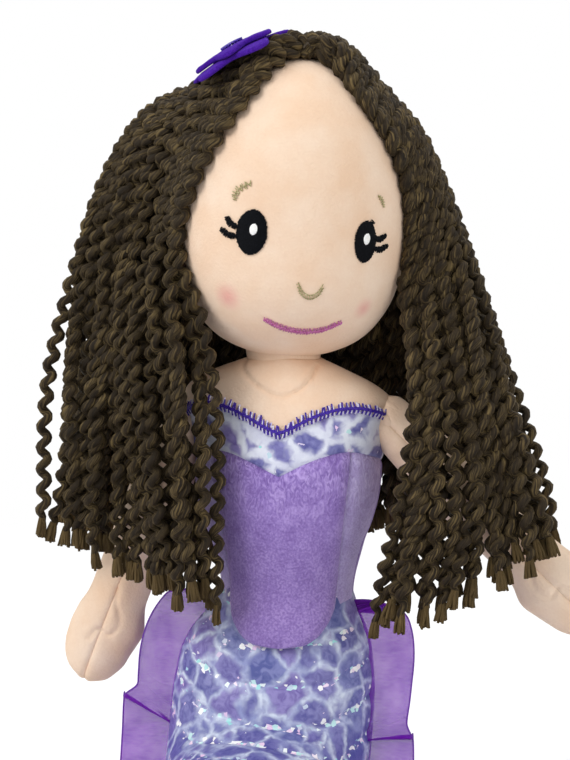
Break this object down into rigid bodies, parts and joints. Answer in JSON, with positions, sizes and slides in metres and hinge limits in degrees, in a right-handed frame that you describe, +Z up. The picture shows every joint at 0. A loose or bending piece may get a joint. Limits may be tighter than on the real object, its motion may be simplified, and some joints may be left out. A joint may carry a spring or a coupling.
{
  "type": "soft mermaid doll",
  "caption": "Soft rag doll mermaid that sits: stuffed head, arms and tail with a fin, plush bodice, organza frills, yarn hair and a felt flower.",
  "frame": {"origin": "on the floor below the middle of the hips, on the flat that the doll sits on", "axes": "+Z up along the seated body, -Y the way the doll faces and the tail points, +X the doll's left"},
  "size_m": [0.2028, 0.2572, 0.287],
  "materials": {
    "velour": "short-pile velour, matt",
    "plush": "short plush with a soft sheen",
    "foil_print": "knit with a printed iridescent foil, satin",
    "organza": "see-through organza with a rolled edge",
    "felt": "wool felt, matt",
    "yarn": "twisted acrylic yarn, matt",
    "batting": "loose polyester fibre",
    "black_thread": "embroidery thread, satin",
    "white_thread": "embroidery thread, satin",
    "olive_thread": "embroidery thread, satin",
    "pink_thread": "embroidery thread, satin",
    "violet_thread": "metallic overlock thread"
  },
  "bodies": {
    "tail": {"tail_front_panel": "foil_print", "tail_back_panel": "foil_print", "tail_stuffing": "batting", "left_frill": "organza", "right_frill": "organza"},
    "fin": {"fin_upper_panel": "foil_print", "fin_lower_panel": "foil_print", "fin_stuffing": "batting"},
    "body": {"chest_skin": "velour", "neckline_band": "foil_print", "bodice_front_panel": "plush", "bodice_left_side_panel": "plush", "bodice_right_side_panel": "plush", "bodice_back_panel": "plush", "belly_panel": "foil_print", "neckline_trim_front": "violet_thread", "neckline_trim_back": "violet_thread", "body_stuffing": "batting"},
    "neck": {"neck": "velour"},
    "head": {"face_panel": "velour", "head_back_panel": "velour", "head_stuffing": "batting", "right_eye_stitches": "black_thread", "left_eye_stitches": "black_thread", "right_eye_highlight": "white_thread", "left_eye_highlight": "white_thread", "right_brow_stitches": "olive_thread", "left_brow_stitches": "olive_thread", "nose_stitches": "olive_thread", "mouth_stitches": "pink_thread", "hair_back_middle": "yarn", "right_hair_front": "yarn", "right_hair_back": "yarn", "left_hair_front": "yarn", "left_hair_back": "yarn", "parting_stitches": "black_thread", "flower_lower_petals": "felt", "flower_upper_petals": "felt", "flower_centre": "felt"},
    "left_shoulder": {"left_shoulder_gusset": "velour"},
    "right_shoulder": {"right_shoulder_gusset": "velour"},
    "left_arm": {"left_arm_inner_panel": "velour", "left_arm_outer_panel": "velour", "left_arm_stuffing": "batting"},
    "right_arm": {"right_arm_inner_panel": "velour", "right_arm_outer_panel": "velour", "right_arm_stuffing": "batting"}
  },
  "joints": [
    {"name": "hip_bend", "type": "hinge", "parent": "tail", "child": "body", "pos_m": [0, 0, 0.0305], "axis": [-1, 0, 0], "range_deg": [-10, 85], "deforming": ["left_frill", "right_frill"]},
    {"name": "neck_nod", "type": "hinge", "parent": "body", "child": "neck", "pos_m": [0, 0, 0.16], "axis": [1, 0, 0], "range_deg": [-20, 15], "stiffness_Nm_per_rad": 0.6},
    {"name": "head_turn", "type": "hinge", "parent": "neck", "child": "head", "pos_m": [0, 0, 0.16], "axis": [0, 0, 1], "range_deg": [-50, 15], "deforming": ["hair_back_middle", "right_hair_front", "right_hair_back", "left_hair_front", "left_hair_back"]},
    {"name": "left_arm_lift", "type": "hinge", "parent": "body", "child": "left_shoulder", "pos_m": [0.0355, 0, 0.151], "axis": [0, -1, 0], "range_deg": [-30, 60], "stiffness_Nm_per_rad": 0.12},
    {"name": "left_arm_swing", "type": "hinge", "parent": "left_shoulder", "child": "left_arm", "pos_m": [0.0355, 0, 0.151], "axis": [-1, 0, 0], "range_deg": [-50, 85], "stiffness_Nm_per_rad": 0.12},
    {"name": "right_arm_lift", "type": "hinge", "parent": "body", "child": "right_shoulder", "pos_m": [-0.0355, 0, 0.151], "axis": [0, 1, 0], "range_deg": [-6, 60], "stiffness_Nm_per_rad": 0.12},
    {"name": "right_arm_swing", "type": "hinge", "parent": "right_shoulder", "child": "right_arm", "pos_m": [-0.0355, 0, 0.151], "axis": [-1, 0, 0], "range_deg": [-50, 85], "stiffness_Nm_per_rad": 0.12},
    {"name": "fin_flex", "type": "hinge", "parent": "tail", "child": "fin", "pos_m": [0, -0.15, 0.0075], "axis": [-1, 0, 0], "range_deg": [-35, 40], "stiffness_Nm_per_rad": 0.05}
  ]
}
